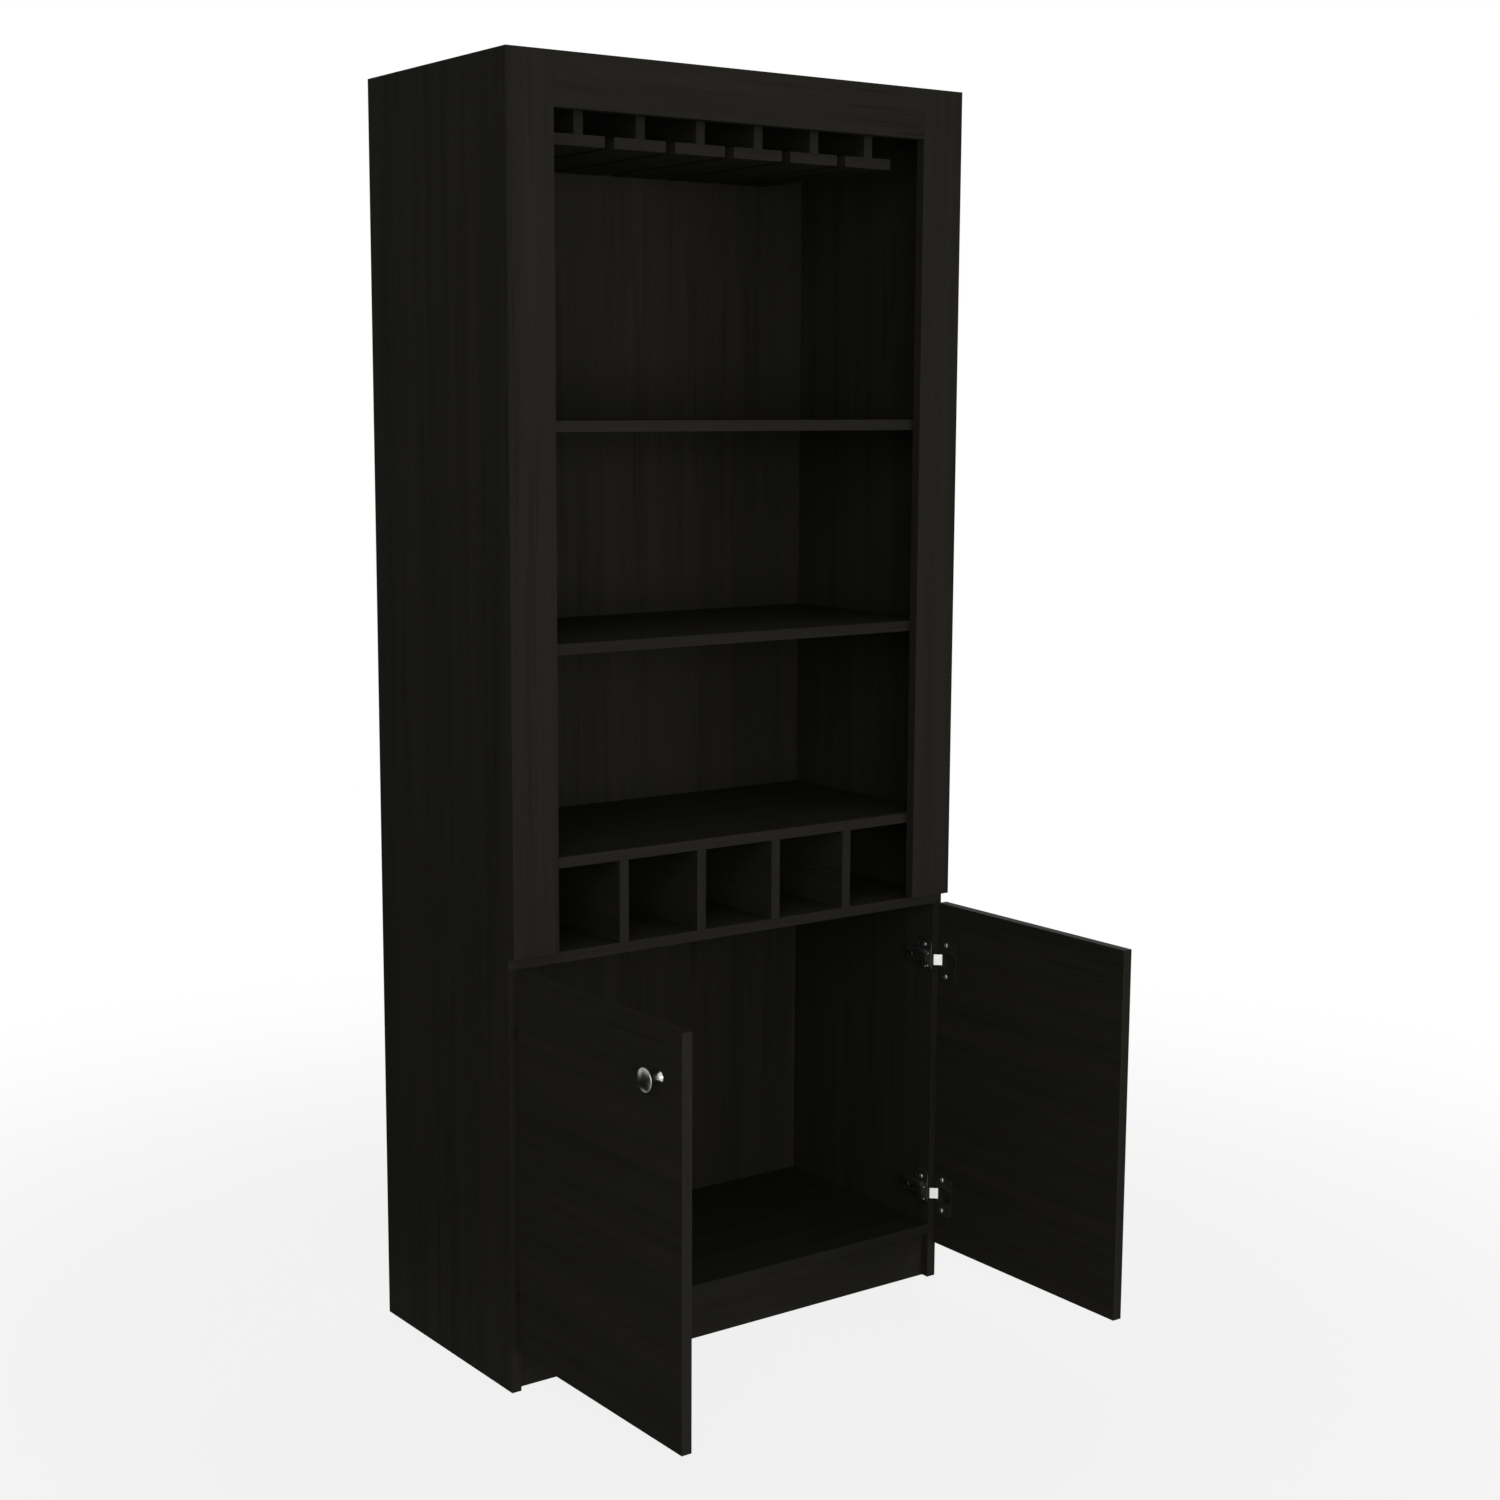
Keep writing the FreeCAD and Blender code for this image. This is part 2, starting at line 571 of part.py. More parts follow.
# The base flares from a slim neck to a round foot, and the head is a shallow mushroom with a small flat
# at its crown, where the tool that turned it ran out
stud_end, stud_tip = knob_place(-KNOB_SCREW_IN_DOOR), knob_place(KNOB_BASE_LENGTH + KNOB_SCREW_BITE)
knob_bore = rod(KNOB_SCREW_RADIUS + FIT, stud_end, stud_tip)
foot_edge = knob_place(0, KNOB_FOOT_RADIUS)
foot_top = knob_place(KNOB_FOOT, KNOB_FOOT_RADIUS)
neck = knob_place(KNOB_BASE_LENGTH, KNOB_NECK_RADIUS)
knob_base = turned([Part.makeLine(foot_edge, foot_top), curve(foot_top, neck, FLARE_SHARES)]).cut(knob_bore)
rim_start = KNOB_BASE_LENGTH + KNOB_RIM_START
rim_radius = KNOB_HEAD_RADIUS - KNOB_RIM_BULGE
rim_low = knob_place(rim_start, rim_radius)
rim_middle = knob_place(rim_start + KNOB_RIM_THICKNESS / 2, KNOB_HEAD_RADIUS)
rim_high = knob_place(rim_start + KNOB_RIM_THICKNESS, rim_radius)
crown_edge = knob_place(KNOB_BASE_LENGTH + KNOB_HEAD_LENGTH, KNOB_CROWN_FLAT)
dome_rise = KNOB_HEAD_LENGTH - KNOB_RIM_START - KNOB_RIM_THICKNESS
dome_radius = (rim_radius ** 2 + dome_rise ** 2) / (2 * dome_rise)
shoulder_radius = rim_radius / 2
shoulder_drop = dome_radius - math.sqrt(dome_radius ** 2 - shoulder_radius ** 2)
shoulder = knob_place(KNOB_BASE_LENGTH + KNOB_HEAD_LENGTH - shoulder_drop, shoulder_radius)
rim = Part.Arc(rim_low, rim_middle, rim_high).toShape()
dome = Part.Arc(rim_high, shoulder, crown_edge).toShape()
knob_head = turned([curve(neck, rim_low, UNDERCUT_SHARES), rim, dome])
knob_head = knob_head.cut(knob_bore)
knob_screw = rod(KNOB_SCREW_RADIUS, stud_end, stud_tip)
door_board = board(door_free, door_edge, door_face, door_back, door_bottom, door_top)
door = cut(door_board, door_bores + [knob_bore])


def opened(shape):
    """The closed right door's piece swung about the hinge pole to the resting angle."""
    turned_shape = shape.copy()
    pole = at(POLE_ALONG, -POLE_DEPTH, 0)
    turned_shape.rotate(pole, Vector(0, 0, 1), REST_OPENING_DEG)
    return turned_shape


# Carcass boards
for sign, side in ((1, "right_side"), (-1, "left_side")):
    low_x, high_x = sorted((sign * (inner - OVERRUN), sign * (inner + GROOVE_DEPTH)))
    drill(side, block(low_x, high_x, panel_front - GROOVE_PLAY, panel_rear + GROOVE_PLAY,
                      KICK_HEIGHT, top_under + GROOVE_DEPTH))
    low_x, high_x = sorted((sign * inner, sign * half_width))
    save(side, [cut(board(low_x, high_x, front, rear, 0, CABINET_HEIGHT), holes[side])])
drill("top", block(-half_width, half_width, panel_front - GROOVE_PLAY, panel_rear + GROOVE_PLAY,
                   top_under - OVERRUN, top_under + GROOVE_DEPTH))
for name, (upper, back) in spans.items():
    save(name, [cut(board(-inner, inner, front, back, upper - BOARD, upper), holes[name])])
kick_front = front + TOE_SETBACK
kick = board(-inner, inner, kick_front, kick_front + BOARD, 0, KICK_HEIGHT)
save("toe_kick", [cut(kick, holes["toe_kick"])])
panel_half = inner + GROOVE_DEPTH - GROOVE_PLAY
for name, low, high in (("back_panel_lower", KICK_HEIGHT, panel_split - PANEL_JOINT / 2),
                        ("back_panel_upper", panel_split + PANEL_JOINT / 2,
                         top_under + GROOVE_DEPTH - GROOVE_PLAY)):
    panel = block(-panel_half, panel_half, panel_front, panel_rear, low, high)
    save(name, [cut(panel, holes[name])])

# Wine rack dividers and stemware tees
for name, x in dividers:
    wall = board(x - BOARD / 2, x + BOARD / 2, front, panel_front, rack_floor_top, cubby_ceiling)
    save(name, [cut(wall, holes[name])])
for x, web, plate in tee_places:
    upright = board(x - BOARD / 2, x + BOARD / 2, tee_start, tee_end, plate_top, top_under)
    save(web, [cut(upright, holes[web])])
    flat = board(x - TEE_PLATE_WIDTH / 2, x + TEE_PLATE_WIDTH / 2, tee_start, tee_end, plate_under, plate_top)
    save(plate, [cut(flat, holes[plate])])

# Face frame
frame_boards = {
    "frame_rail": (-stile_inner, stile_inner, CABINET_HEIGHT - RAIL_HEIGHT),
    "right_stile": (stile_inner, half_width, frame_bottom),
    "left_stile": (-half_width, -stile_inner, frame_bottom),
}
for name, (low_x, high_x, low) in frame_boards.items():
    save(name, [cut(board(low_x, high_x, front - BOARD, front, low, CABINET_HEIGHT), holes[name])])

# Doors and what rides on them
riders = {"door": [door], "hinge_cups": cups, "cup_screws": cup_screws, "knob_base": [knob_base],
          "knob_head": [knob_head], "knob_screw": [knob_screw]}
for name, shapes in riders.items():
    swung = [opened(shape) for shape in shapes]
    save("right_" + name, swung)
    save("left_" + name, [mirrored(shape) for shape in swung])

# Hinge pieces that stay on the carcass, and the links
for name, shapes in (("hinge_plates", plates), ("hinge_arms", arms), ("hinge_links", links)):
    save("right_" + name, shapes)
    save("left_" + name, [mirrored(shape) for shape in shapes])
for name, shapes in (("hinge_pins", pins), ("hinge_plate_screws", plate_screws),
                     ("hinge_arm_screws", arm_screws)):
    save(name, shapes + [mirrored(shape) for shape in shapes])

# Joinery groups
save("cam_locks", cams)
save("cam_bolts", bolts)
save("dowels", dowels)
save("divider_pegs", divider_pegs)
save("stem_rail_pegs", tee_pegs)
save("frame_pegs", frame_pegs)
save("back_nails", nails)
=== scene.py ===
import math

import bpy
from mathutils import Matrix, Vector


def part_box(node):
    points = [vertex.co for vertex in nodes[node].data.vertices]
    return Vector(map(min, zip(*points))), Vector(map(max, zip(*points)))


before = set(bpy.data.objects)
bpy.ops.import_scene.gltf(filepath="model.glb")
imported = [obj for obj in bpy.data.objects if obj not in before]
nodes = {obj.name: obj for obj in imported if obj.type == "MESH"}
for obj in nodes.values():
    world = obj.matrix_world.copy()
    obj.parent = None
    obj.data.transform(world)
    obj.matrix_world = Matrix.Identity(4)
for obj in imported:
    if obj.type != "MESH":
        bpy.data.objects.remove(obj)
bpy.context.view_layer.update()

# SIDES
# Two tall boards of chipboard faced with wenge-print melamine, with the print running up them.
# Every other board is fixed between them with cams and dowels, so nothing shows outside.
X, Y, Z = 0, 1, 2


def linear(code):
    """An sRGB hex colour as the linear colour that Blender's sockets take."""
    shares = [int(code[i:i + 2], 16) / 255 for i in (1, 3, 5)]
    return [s / 12.92 if s <= 0.04045 else ((s + 0.055) / 1.055) ** 2.4 for s in shares] + [1]


def add(tree, kind, sockets=None, **settings):
    """Adds a node. A socket takes a plain value, or the output of another node as a link."""
    node = tree.nodes.new(kind)
    for name, value in settings.items():
        setattr(node, name, value)
    for socket, value in (sockets or {}).items():
        if isinstance(value, bpy.types.NodeSocket):
            tree.links.new(value, node.inputs[socket])
        else:
            node.inputs[socket].default_value = value
    return node


def new_material(name):
    """A new material, its node tree and its shader."""
    material = bpy.data.materials.new(name)
    material.use_nodes = True
    return material, material.node_tree, material.node_tree.nodes["Principled BSDF"]


def finish_nodes(material, *names):
    """Puts a material on CAD nodes."""
    for name in names:
        for slot in nodes[name].material_slots:
            slot.material = material


# Strokes of the print, each with its length, width and detail. The finest pores of wenge, 0.2 mm wide,
# are drawn 0.9 mm wide so that they show.
STREAKS = (0.110, 0.0028, 3)
BANDS = (0.900, 0.030, 2)
BUNDLES = (0.420, 0.022, 1)
LINES = (0.220, 0.0017, 1)
PORES = (0.030, 0.0009, 1)
STROKE_FRAY = 0.6
# Streaks and bands share the ground's tone, and lines and pores darken it.
STREAK_SHARE = 0.42
BAND_SHARE = 0.8
LINE_SHADE = 0.34
PORE_SHADE = 0.2
# The noise at which a bundle, line or pore begins, and at which it is complete.
BUNDLE_RISE = (0.57, 0.66)
LINE_RISE = (0.48, 0.62)
PORE_RISE = (0.62, 0.72)
# A face looks along an axis where its normal is mostly along it.
MOSTLY = 0.5


def wenge_print(tree, grain, edge):
    """Tone of the wenge print, 0 dark to 1 light, and the height of its pores.

    The print runs along one axis, and along another on edges that are cut across the first.
    """
    place = add(tree, "ShaderNodeTexCoord")
    spot = add(tree, "ShaderNodeSeparateXYZ", {0: place.outputs["Object"]}).outputs
    normal = add(tree, "ShaderNodeSeparateXYZ", {0: place.outputs["Normal"]}).outputs
    facing = add(tree, "ShaderNodeMath", {0: normal[grain]}, operation="ABSOLUTE")
    cut = add(tree, "ShaderNodeMath", {0: facing.outputs[0], 1: MOSTLY}, operation="GREATER_THAN").outputs[0]
    along = add(tree, "ShaderNodeMix", {0: cut, 2: spot[grain], 3: spot[edge]})
    across = add(tree, "ShaderNodeMix", {0: cut, 2: spot[edge], 3: spot[grain]})
    lie = add(tree, "ShaderNodeCombineXYZ", {0: along.outputs[0], 1: across.outputs[0],
                                             2: spot[X + Y + Z - grain - edge]})
    strokes = []
    for length, width, detail in (STREAKS, BANDS, BUNDLES, LINES, PORES):
        run = add(tree, "ShaderNodeMapping", {"Vector": lie.outputs[0],
                                              "Scale": (1 / length, 1 / width, 1 / width)})
        noise = add(tree, "ShaderNodeTexNoise", {"Vector": run.outputs[0], "Scale": 1, "Detail": detail,
                                                 "Roughness": STROKE_FRAY})
        strokes.append(noise.outputs[0])
    streak, band, bundle, line, pore = strokes
    shades = []
    for noise, (start, full), shade in ((bundle, BUNDLE_RISE, 1), (line, LINE_RISE, LINE_SHADE),
                                        (pore, PORE_RISE, PORE_SHADE)):
        rise = add(tree, "ShaderNodeMapRange", {"Value": noise, "From Min": start, "From Max": full,
                                                "To Max": shade})
        shades.append(rise.outputs[0])
    # Bundle times line, plus pore: dark lines show only where they gather in bundles, and pores all over.
    dark = add(tree, "ShaderNodeMath", dict(enumerate(shades)), operation="MULTIPLY_ADD")
    ground = add(tree, "ShaderNodeMath", {0: band, 1: BAND_SHARE, 2: (1 - BAND_SHARE - STREAK_SHARE) / 2},
                 operation="MULTIPLY_ADD")
    ground = add(tree, "ShaderNodeMath", {0: streak, 1: STREAK_SHARE, 2: ground.outputs[0]},
                 operation="MULTIPLY_ADD")
    tone = add(tree, "ShaderNodeMath", {0: ground.outputs[0], 1: dark.outputs[0]}, operation="SUBTRACT",
               use_clamp=True)
    return tone.outputs[0], pore


WENGE_DARK, DARK_TONE = "#1d1c18", 0.2
WENGE_MID, MID_TONE = "#23221e", 0.5
WENGE_LIGHT, LIGHT_TONE = "#282621", 0.8
DARK_ROUGHNESS, LIGHT_ROUGHNESS = 0.76, 0.64
PORE_PRESS, PORE_DEPTH = 0.12, 0.0002
PAPER_SHEEN = 0.015


def wenge_melamine(name, grain, edge):
    """Melamine paper printed as wenge, pressed satin: near black with faint streaks and hardly a sheen."""
    material, tree, shader = new_material(name)
    tone, pore = wenge_print(tree, grain, edge)
    colour = add(tree, "ShaderNodeValToRGB", {"Fac": tone})
    ramp = colour.color_ramp.elements
    ramp[0].position, ramp[0].color = DARK_TONE, linear(WENGE_DARK)
    ramp[1].position, ramp[1].color = LIGHT_TONE, linear(WENGE_LIGHT)
    ramp.new(MID_TONE).color = linear(WENGE_MID)
    gloss = add(tree, "ShaderNodeMapRange", {"Value": tone, "To Min": DARK_ROUGHNESS,
                                             "To Max": LIGHT_ROUGHNESS})
    relief = add(tree, "ShaderNodeBump", {"Height": pore, "Strength": PORE_PRESS, "Distance": PORE_DEPTH})
    tree.links.new(colour.outputs[0], shader.inputs["Base Color"])
    tree.links.new(gloss.outputs[0], shader.inputs["Roughness"])
    tree.links.new(relief.outputs[0], shader.inputs["Normal"])
    shader.inputs["Specular IOR Level"].default_value = PAPER_SHEEN
    return material


finish_nodes(wenge_melamine("wenge_melamine_upright", Z, Y), "left_side", "right_side")

# TOP, SHELVES AND BASE
# Boards of the same make that span between the sides, with the print running across the cabinet
# and a band of the same paper glued to their front edges.
wenge_across = wenge_melamine("wenge_melamine_across", X, Y)
finish_nodes(wenge_across, "top", "upper_shelf", "middle_shelf", "rack_top", "rack_floor", "base")

# TOE KICK
# A board on edge under the base, set back from the front and pegged between the sides.
finish_nodes(wenge_across, "toe_kick")

# BACK
# Two sheets of hardboard in grooves, parted behind the rack floor. The inner face carries the
# wenge print, and the rear face is the bare brown board.
HARDBOARD_DARK = "#4a3626"
HARDBOARD_LIGHT = "#5f4832"
FIBRE_SIZE = 0.004
FIBRE_DETAIL, FIBRE_FRAY = 4, 0.7
MOTTLE = (0.3, 0.7)


def printed_hardboard(name):
    """Wet-pressed brown fibre, mottled and dull behind, printed as wenge in front."""
    material = wenge_melamine(name, Z, X)
    tree = material.node_tree
    shader = tree.nodes["Principled BSDF"]
    print_colour = shader.inputs["Base Color"].links[0].from_socket
    place = add(tree, "ShaderNodeTexCoord")
    fibre = add(tree, "ShaderNodeTexNoise", {"Vector": place.outputs["Object"], "Scale": 1 / FIBRE_SIZE,
                                             "Detail": FIBRE_DETAIL, "Roughness": FIBRE_FRAY})
    brown = add(tree, "ShaderNodeValToRGB", {"Fac": fibre.outputs[0]})
    ramp = brown.color_ramp.elements
    ramp[0].position, ramp[0].color = MOTTLE[0], linear(HARDBOARD_DARK)
    ramp[1].position, ramp[1].color = MOTTLE[1], linear(HARDBOARD_LIGHT)
    normal = add(tree, "ShaderNodeSeparateXYZ", {0: place.outputs["Normal"]})
    behind = add(tree, "ShaderNodeMath", {0: normal.outputs[Y], 1: MOSTLY}, operation="GREATER_THAN")
    both = add(tree, "ShaderNodeMix", {"Factor": behind.outputs[0], 6: print_colour, 7: brown.outputs[0]},
               data_type="RGBA")
    tree.links.new(both.outputs[2], shader.inputs["Base Color"])
    return material


finish_nodes(printed_hardboard("printed_hardboard"), "back_panel_lower", "back_panel_upper")

# BOTTLE RACK DIVIDERS
# Four thin upright boards pegged between the rack's top and floor, banded on their front edges.
wenge_deep = wenge_melamine("wenge_melamine_deep", Y, Z)
finish_nodes(wenge_deep, *[name for name in nodes if name.startswith("rack_divider")])

# STEMWARE RAILS
# Six upside-down tees under the top: an upright web pegged to the top board, and a flat plate
# pegged under it, whose edges carry the feet of stemmed glasses.
finish_nodes(wenge_deep, *[name for name in nodes if name.startswith("stem_rail_web")])
wenge_flat = wenge_melamine("wenge_melamine_flat", Y, X)
finish_nodes(wenge_flat, *[name for name in nodes if name.startswith("stem_rail_plate")])

# FACE FRAME
# Two stiles and a top rail pegged to the front edges of the sides and the top.
finish_nodes(wenge_melamine("wenge_melamine_stile", Z, X), "left_stile", "right_stile")
finish_nodes(wenge_across, "frame_rail")

# DOORS
# Two boards with the print running across them, banded all round.
finish_nodes(wenge_melamine("wenge_melamine_door", Y, Z), "left_door", "right_door")

# HINGES
# Concealed hinges pressed from steel and nickel plated: a plate screwed to the side, an arm on it,
# a link on the arm's pin and a cup pressed into the door.
NICKEL = "#8c8b88"
NICKEL_WORN = "#797875"
PLATING_CLOUD = 0.006
CLOUD_DETAIL, CLOUD_FRAY = 3, 0.6
CLOUD_SPAN = (0.3, 0.7)


def plated_metal(name, bright, dull, cloud, smooth, rough):
    """Metal that shows what is round it, clouded a little where the plating is thinner."""
    material, tree, shader = new_material(name)
    place = add(tree, "ShaderNodeTexCoord")
    clouds = add(tree, "ShaderNodeTexNoise", {"Vector": place.outputs["Object"], "Scale": 1 / cloud,
                                              "Detail": CLOUD_DETAIL, "Roughness": CLOUD_FRAY})
    colour = add(tree, "ShaderNodeValToRGB", {"Fac": clouds.outputs[0]})
    ramp = colour.color_ramp.elements
    ramp[0].position, ramp[0].color = CLOUD_SPAN[0], linear(dull)
    ramp[1].position, ramp[1].color = CLOUD_SPAN[1], linear(bright)
    gloss = add(tree, "ShaderNodeMapRange", {"Value": clouds.outputs[0], "To Min": rough, "To Max": smooth})
    tree.links.new(colour.outputs[0], shader.inputs["Base Color"])
    tree.links.new(gloss.outputs[0], shader.inputs["Roughness"])
    shader.inputs["Metallic"].default_value = 1
    return material


hinge_plating = {"bright": NICKEL, "dull": NICKEL_WORN, "cloud": PLATING_CLOUD, "smooth": 0.34, "rough": 0.44}
hinge_nickel = plated_metal("nickel_plated_steel", **hinge_plating)
finish_nodes(hinge_nickel, "left_hinge_plates", "right_hinge_plates", "left_hinge_arms", "right_hinge_arms")
# Painted shade: dark tones and a higher roughness laid into the cup's bowl and round the link's pin.
BOWL_SHADE = "#4a4946"
PIN_SHADE = "#2c2b29"
SHADE_ROUGHNESS = 0.6


def paint_shade(material, share, shade_tone):
    """Leaves plating dull and dark where share is 1: painted shade, in a bowl or round a pin."""
    tree = material.node_tree
    shader = tree.nodes["Principled BSDF"]
    # Each row ends with the numbers of a mix node's two inputs and its result, for values of that kind.
    for socket, dull, kind, first, last, result in (("Base Color", linear(shade_tone), "RGBA", 6, 7, 2),
                                                    ("Roughness", SHADE_ROUGHNESS, "FLOAT", 2, 3, 0)):
        unshaded = shader.inputs[socket].links[0].from_socket
        both = add(tree, "ShaderNodeMix", {0: share, first: unshaded, last: dull}, data_type=kind)
        tree.links.new(both.outputs[result], shader.inputs[socket])


# The flange shines and the bowl is painted shade. Left and right are alike but for the sign of X.
FLANGE_SHEET = 0.0013
cup_nickel = plated_metal("nickel_plated_cup", **hinge_plating)
tree = cup_nickel.node_tree
place = add(tree, "ShaderNodeTexCoord")
across = add(tree, "ShaderNodeSeparateXYZ", {0: place.outputs["Object"]})
across = add(tree, "ShaderNodeMath", {0: across.outputs[X]}, operation="ABSOLUTE")
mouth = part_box("right_hinge_cups")[0].x + FLANGE_SHEET
bowl = add(tree, "ShaderNodeMath", {0: across.outputs[0], 1: mouth}, operation="GREATER_THAN")
paint_shade(cup_nickel, bowl.outputs[0], BOWL_SHADE)
finish_nodes(cup_nickel, "left_hinge_cups", "right_hinge_cups")

# The link's pale plating is a painted highlight, and round its pin, at its rear end, is painted shade.
KNUCKLE, KNUCKLE_FADE = 0.0085, 0.0006
link_nickel = plated_metal("smooth_nickel_painted_highlight", bright="#f2f0ec", dull="#e4e2de", cloud=PLATING_CLOUD,
                           smooth=0.1, rough=0.18)
tree = link_nickel.node_tree
place = add(tree, "ShaderNodeTexCoord")
along = add(tree, "ShaderNodeSeparateXYZ", {0: place.outputs["Object"]})
pin_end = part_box("right_hinge_links")[1].y - KNUCKLE
knuckle = add(tree, "ShaderNodeMapRange", {"Value": along.outputs[Y], "From Min": pin_end - KNUCKLE_FADE,
                                           "From Max": pin_end})
paint_shade(link_nickel, knuckle.outputs[0], PIN_SHADE)
finish_nodes(link_nickel, "left_hinge_links", "right_hinge_links")

# KNOBS
# Turned brass, nickel plated: a satin mushroom head on a polished flared foot, on a stud in the door.
knob_nickel = plated_metal("satin_nickel", bright="#a09f9d", dull="#929190", cloud=PLATING_CLOUD,
                           smooth=0.27, rough=0.35)
finish_nodes(knob_nickel, "left_knob_head", "right_knob_head")
# The foot's plating is drawn paler than the head's, a painted highlight; its lower roughness is the polish.
foot_nickel = plated_metal("polished_nickel_painted_highlight", bright="#d6d5d2", dull="#c6c5c2", cloud=PLATING_CLOUD,
                           smooth=0.14, rough=0.2)
finish_nodes(foot_nickel, "left_knob_base", "right_knob_base")

# SCREWS, PINS AND NAILS
# Zinc-plated steel, and blackened steel for the screws in the hinges' arms.
SCREW_CLOUD = 0.002
zinc_steel = plated_metal("zinc_plated_steel", bright="#c3c5c8", dull="#a7aaae", cloud=SCREW_CLOUD,
                          smooth=0.25, rough=0.4)
finish_nodes(zinc_steel, "hinge_pins", "hinge_plate_screws", "left_cup_screws", "right_cup_screws",
             "left_knob_screw", "right_knob_screw", "back_nails")
black_steel = plated_metal("blackened_steel", bright="#4a4a4c", dull="#38383a", cloud=SCREW_CLOUD,
                           smooth=0.35, rough=0.5)
finish_nodes(black_steel, "hinge_arm_screws")

# CAM FITTINGS
# Die-cast zinc drums in the boards, turned with a screwdriver onto steel bolts in the sides.
cast_zinc = plated_metal("cast_zinc", bright="#9b9ea1", dull="#808386", cloud=0.003, smooth=0.42, rough=0.58)
finish_nodes(cast_zinc, "cam_locks", "cam_bolts")

# DOWELS AND PEGS
# Beech rods, left raw, glued in drilled holes between the boards.
BEECH_DARK = "#b98f60"
BEECH_LIGHT = "#d0aa7c"
RAY_LENGTH, RAY_WIDTH = 0.012, 0.0012
RAY_DETAIL, RAY_FRAY = 3, 0.6
BEECH_ROUGHNESS = 0.7

beech, tree, shader = new_material("raw_beech")
place = add(tree, "ShaderNodeTexCoord")
run = add(tree, "ShaderNodeMapping", {"Vector": place.outputs["Object"],
                                      "Scale": [1 / RAY_LENGTH, 1 / RAY_WIDTH, 1 / RAY_WIDTH]})
rays = add(tree, "ShaderNodeTexNoise", {"Vector": run.outputs[0], "Scale": 1, "Detail": RAY_DETAIL,
                                        "Roughness": RAY_FRAY})
colour = add(tree, "ShaderNodeValToRGB", {"Fac": rays.outputs[0]})
colour.color_ramp.elements[0].color = linear(BEECH_DARK)
colour.color_ramp.elements[1].color = linear(BEECH_LIGHT)
tree.links.new(colour.outputs[0], shader.inputs["Base Color"])
shader.inputs["Roughness"].default_value = BEECH_ROUGHNESS
finish_nodes(beech, "dowels", "divider_pegs", "stem_rail_pegs", "frame_pegs")

# STUDIO
# A pale floor that fades into a white background, three soft lamps in front and one behind, and
# dark walls with black cloth on the floor behind, which only reflections show.
FLOOR_SIZE = 24
FLOOR_TONE, FLOOR_ROUGHNESS = "#b2b2b0", 0.9
FADE_FROM, FADE_TO = 0.7, 2.4
FLOOR_GLOW = 0.85
bpy.ops.object.select_all(action="DESELECT")
bpy.ops.mesh.primitive_plane_add(size=FLOOR_SIZE, location=(0, 0, 0))
floor = bpy.context.object
floor.name = "floor"


def seen_directly(tree):
    """1 for what the camera sees, straight or in a reflection, and 0 for light that falls on things."""
    path = add(tree, "ShaderNodeLightPath")
    return add(tree, "ShaderNodeMath", {0: path.outputs["Is Camera Ray"], 1: path.outputs["Is Glossy Ray"]},
               operation="ADD", use_clamp=True).outputs[0]


paper, tree, shader = new_material("white_paper")
shader.inputs["Base Color"].default_value = linear(FLOOR_TONE)
shader.inputs["Roughness"].default_value = FLOOR_ROUGHNESS
shader.inputs["Specular IOR Level"].default_value = 0
place = add(tree, "ShaderNodeTexCoord")
reach = add(tree, "ShaderNodeVectorMath", {0: place.outputs["Object"]}, operation="LENGTH")
fade = add(tree, "ShaderNodeMapRange", {"Value": reach.outputs["Value"], "From Min": FADE_FROM,
                                        "From Max": FADE_TO, "To Min": FLOOR_GLOW, "To Max": 1.0},
           interpolation_type="SMOOTHSTEP")
share = add(tree, "ShaderNodeMath", {0: seen_directly(tree), 1: fade.outputs[0]}, operation="MULTIPLY")
glow = add(tree, "ShaderNodeEmission", {"Color": (1, 1, 1, 1), "Strength": 1})
blend = add(tree, "ShaderNodeMixShader", {0: share.outputs[0], 1: shader.outputs[0], 2: glow.outputs[0]})
tree.links.new(blend.outputs[0], tree.nodes["Material Output"].inputs["Surface"])
floor.data.materials.append(paper)

AMBIENT = 0.26
world = bpy.data.worlds.new("studio")
bpy.context.scene.world = world
world.use_nodes = True
tree = world.node_tree
level = add(tree, "ShaderNodeMapRange", {"Value": seen_directly(tree), "To Min": AMBIENT, "To Max": 1.0})
sky = tree.nodes["Background"]
sky.inputs["Color"].default_value = (1, 1, 1, 1)
tree.links.new(level.outputs[0], sky.inputs["Strength"])

# The cloth lies beside and behind the cabinet. The walls stand all round it, but for a gap straight
# behind.
CLOTH = "#202020"
CLOTH_INNER, WALL_RADIUS, WALL_PANELS = 0.6, 6, 64
CLOTH_LIFT, WALL_TOP = 0.015, 2.6
CLOTH_FRONT, WALL_REAR = -1.2, 4.5
bpy.ops.object.select_all(action="DESELECT")
bpy.ops.mesh.primitive_circle_add(vertices=WALL_PANELS, radius=CLOTH_INNER, location=(0, 0, CLOTH_LIFT))
walls = bpy.context.object
walls.name = "dark_walls"
bpy.ops.object.mode_set(mode="EDIT")
bpy.ops.mesh.extrude_region_move()
bpy.ops.transform.resize(value=(WALL_RADIUS / CLOTH_INNER, WALL_RADIUS / CLOTH_INNER, 1),
                         center_override=(0, 0, CLOTH_LIFT))
bpy.ops.mesh.extrude_region_move(TRANSFORM_OT_translate={"value": (0, 0, WALL_TOP - CLOTH_LIFT)})
bpy.ops.mesh.select_mode(type="FACE")
bpy.ops.mesh.select_all(action="DESELECT")
bpy.ops.object.mode_set(mode="OBJECT")
for face in walls.data.polygons:
    lies_flat = abs(face.normal.z) > MOSTLY
    face.select = face.center.y < CLOTH_FRONT if lies_flat else face.center.y > WALL_REAR
bpy.ops.object.mode_set(mode="EDIT")
bpy.ops.mesh.delete(type="FACE")
bpy.ops.object.mode_set(mode="OBJECT")
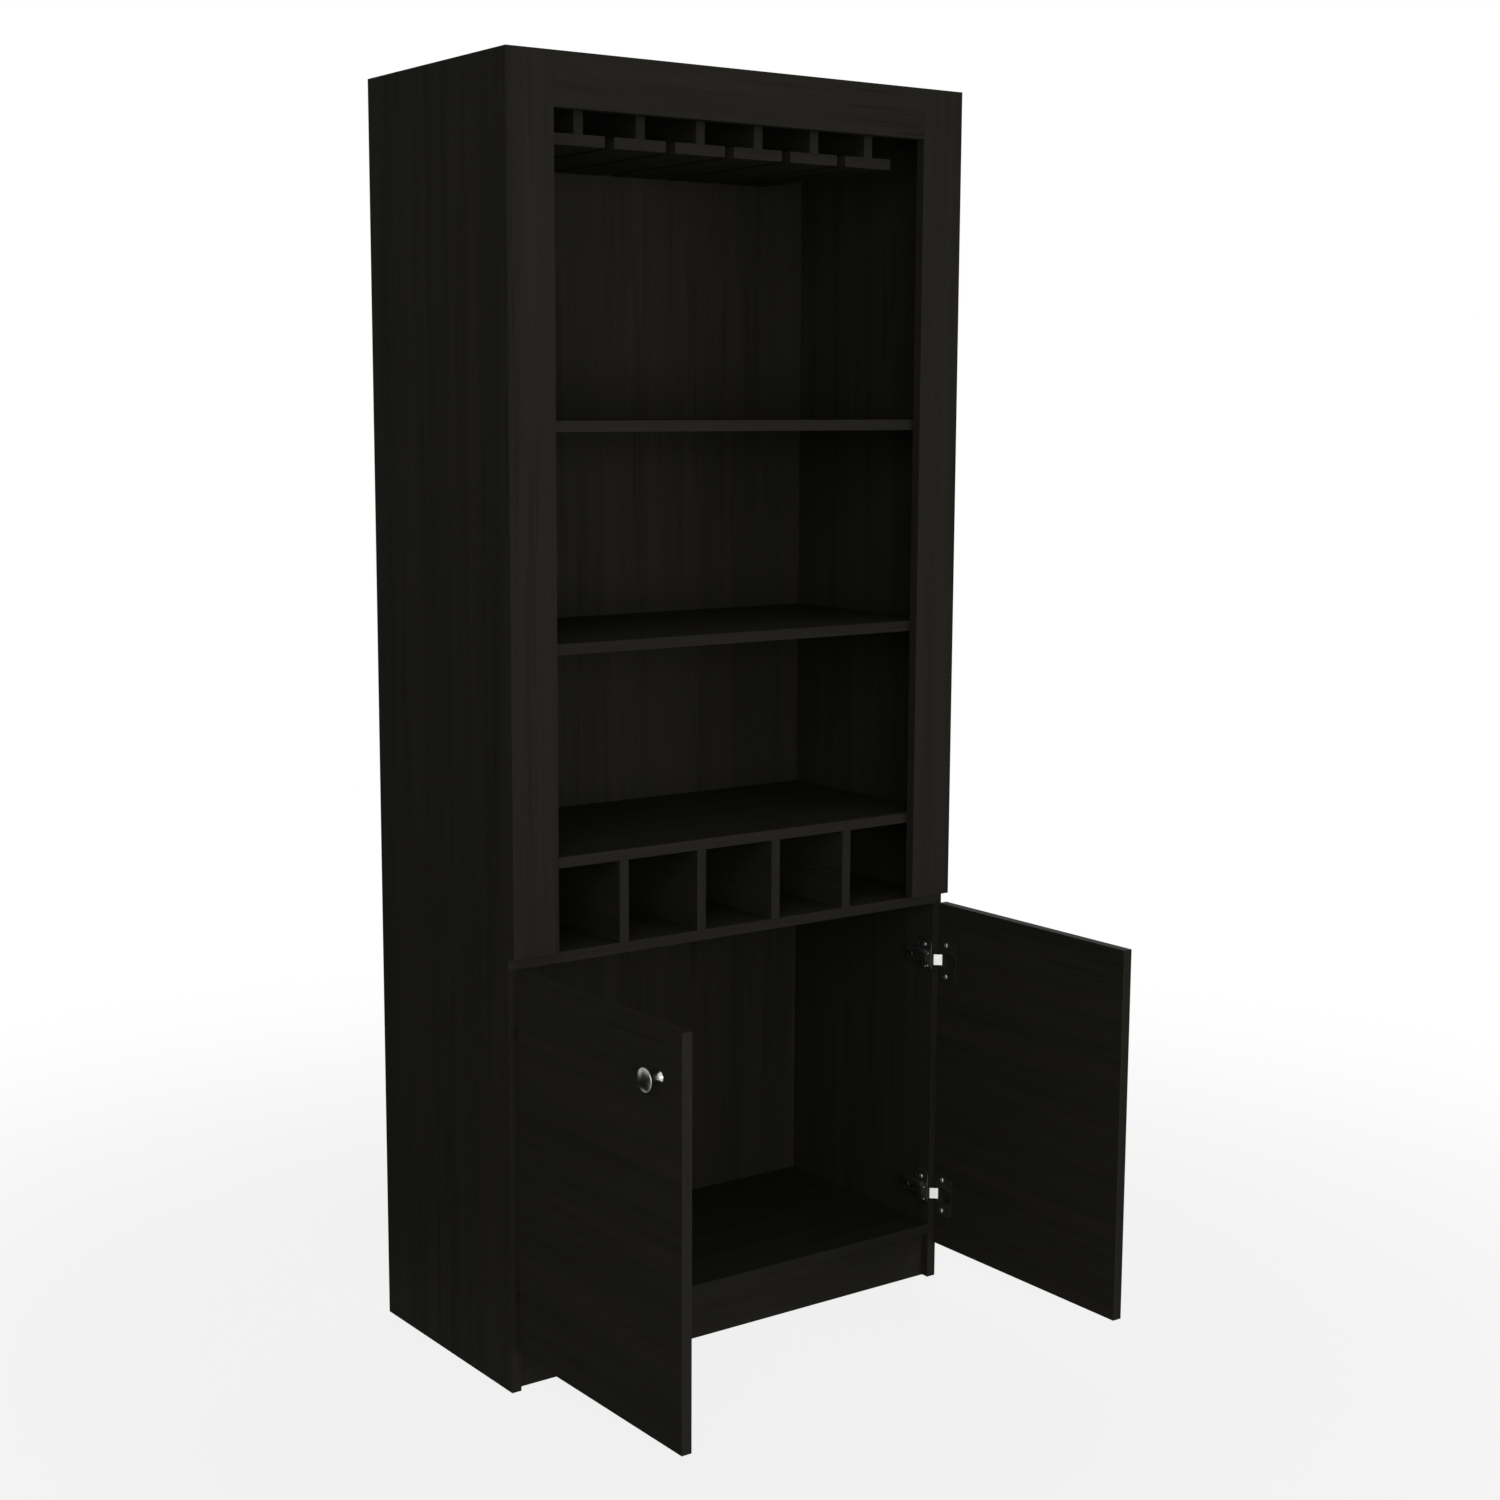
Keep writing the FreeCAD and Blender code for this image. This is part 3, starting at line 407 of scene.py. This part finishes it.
walls.visible_camera = walls.visible_diffuse = walls.visible_shadow = walls.visible_transmission = False
cloth, tree, shader = new_material("black_cloth")
shader.inputs["Base Color"].default_value = linear(CLOTH)
shader.inputs["Roughness"].default_value = 1
shader.inputs["Specular IOR Level"].default_value = 0
walls.data.materials.append(cloth)

LAMP_DISTANCE = 4.2
LAMP_SIZE = 1.8
AIM = Vector((0, 0, 0.9))


def soft_lamp(name, azimuth, elevation, watts):
    """A square soft box round the cabinet, at angles from straight in front and from level."""
    turn, rise = math.radians(azimuth), math.radians(elevation)
    away = Vector((math.sin(turn) * math.cos(rise), -math.cos(turn) * math.cos(rise), math.sin(rise)))
    lamp = bpy.data.lights.new(name, "AREA")
    lamp.shape, lamp.size, lamp.energy = "SQUARE", LAMP_SIZE, watts
    holder = bpy.data.objects.new(name, lamp)
    bpy.context.scene.collection.objects.link(holder)
    holder.location = AIM + LAMP_DISTANCE * away
    holder.rotation_euler = (-away).to_track_quat("-Z", "Y").to_euler()


soft_lamp("left_front_lamp", azimuth=-20, elevation=3, watts=60)
soft_lamp("left_high_lamp", azimuth=-45, elevation=20, watts=31)
soft_lamp("right_front_lamp", azimuth=28, elevation=3, watts=44)
soft_lamp("right_rear_lamp", azimuth=128, elevation=14, watts=75)

# The camera stands where the photograph was taken from, worked out from the cabinet's edges there.
FOCAL, SENSOR = 55.2, 36
SHIFT_X, SHIFT_Y = 0.0586, -0.0027
CAMERA_PLACE = (-1.9102, -2.5752, 1.3225)
LOOK_DOWN, LOOK_RIGHT = 8.27, 34.82
camera = bpy.data.cameras.new("camera")
camera.lens, camera.sensor_width = FOCAL, SENSOR
camera.shift_x, camera.shift_y = SHIFT_X, SHIFT_Y
eye = bpy.data.objects.new("camera", camera)
bpy.context.scene.collection.objects.link(eye)
eye.location = CAMERA_PLACE
eye.rotation_euler = (math.radians(90 - LOOK_DOWN), 0, math.radians(-LOOK_RIGHT))
bpy.context.scene.camera = eye
bpy.context.scene.view_settings.view_transform = "Standard"
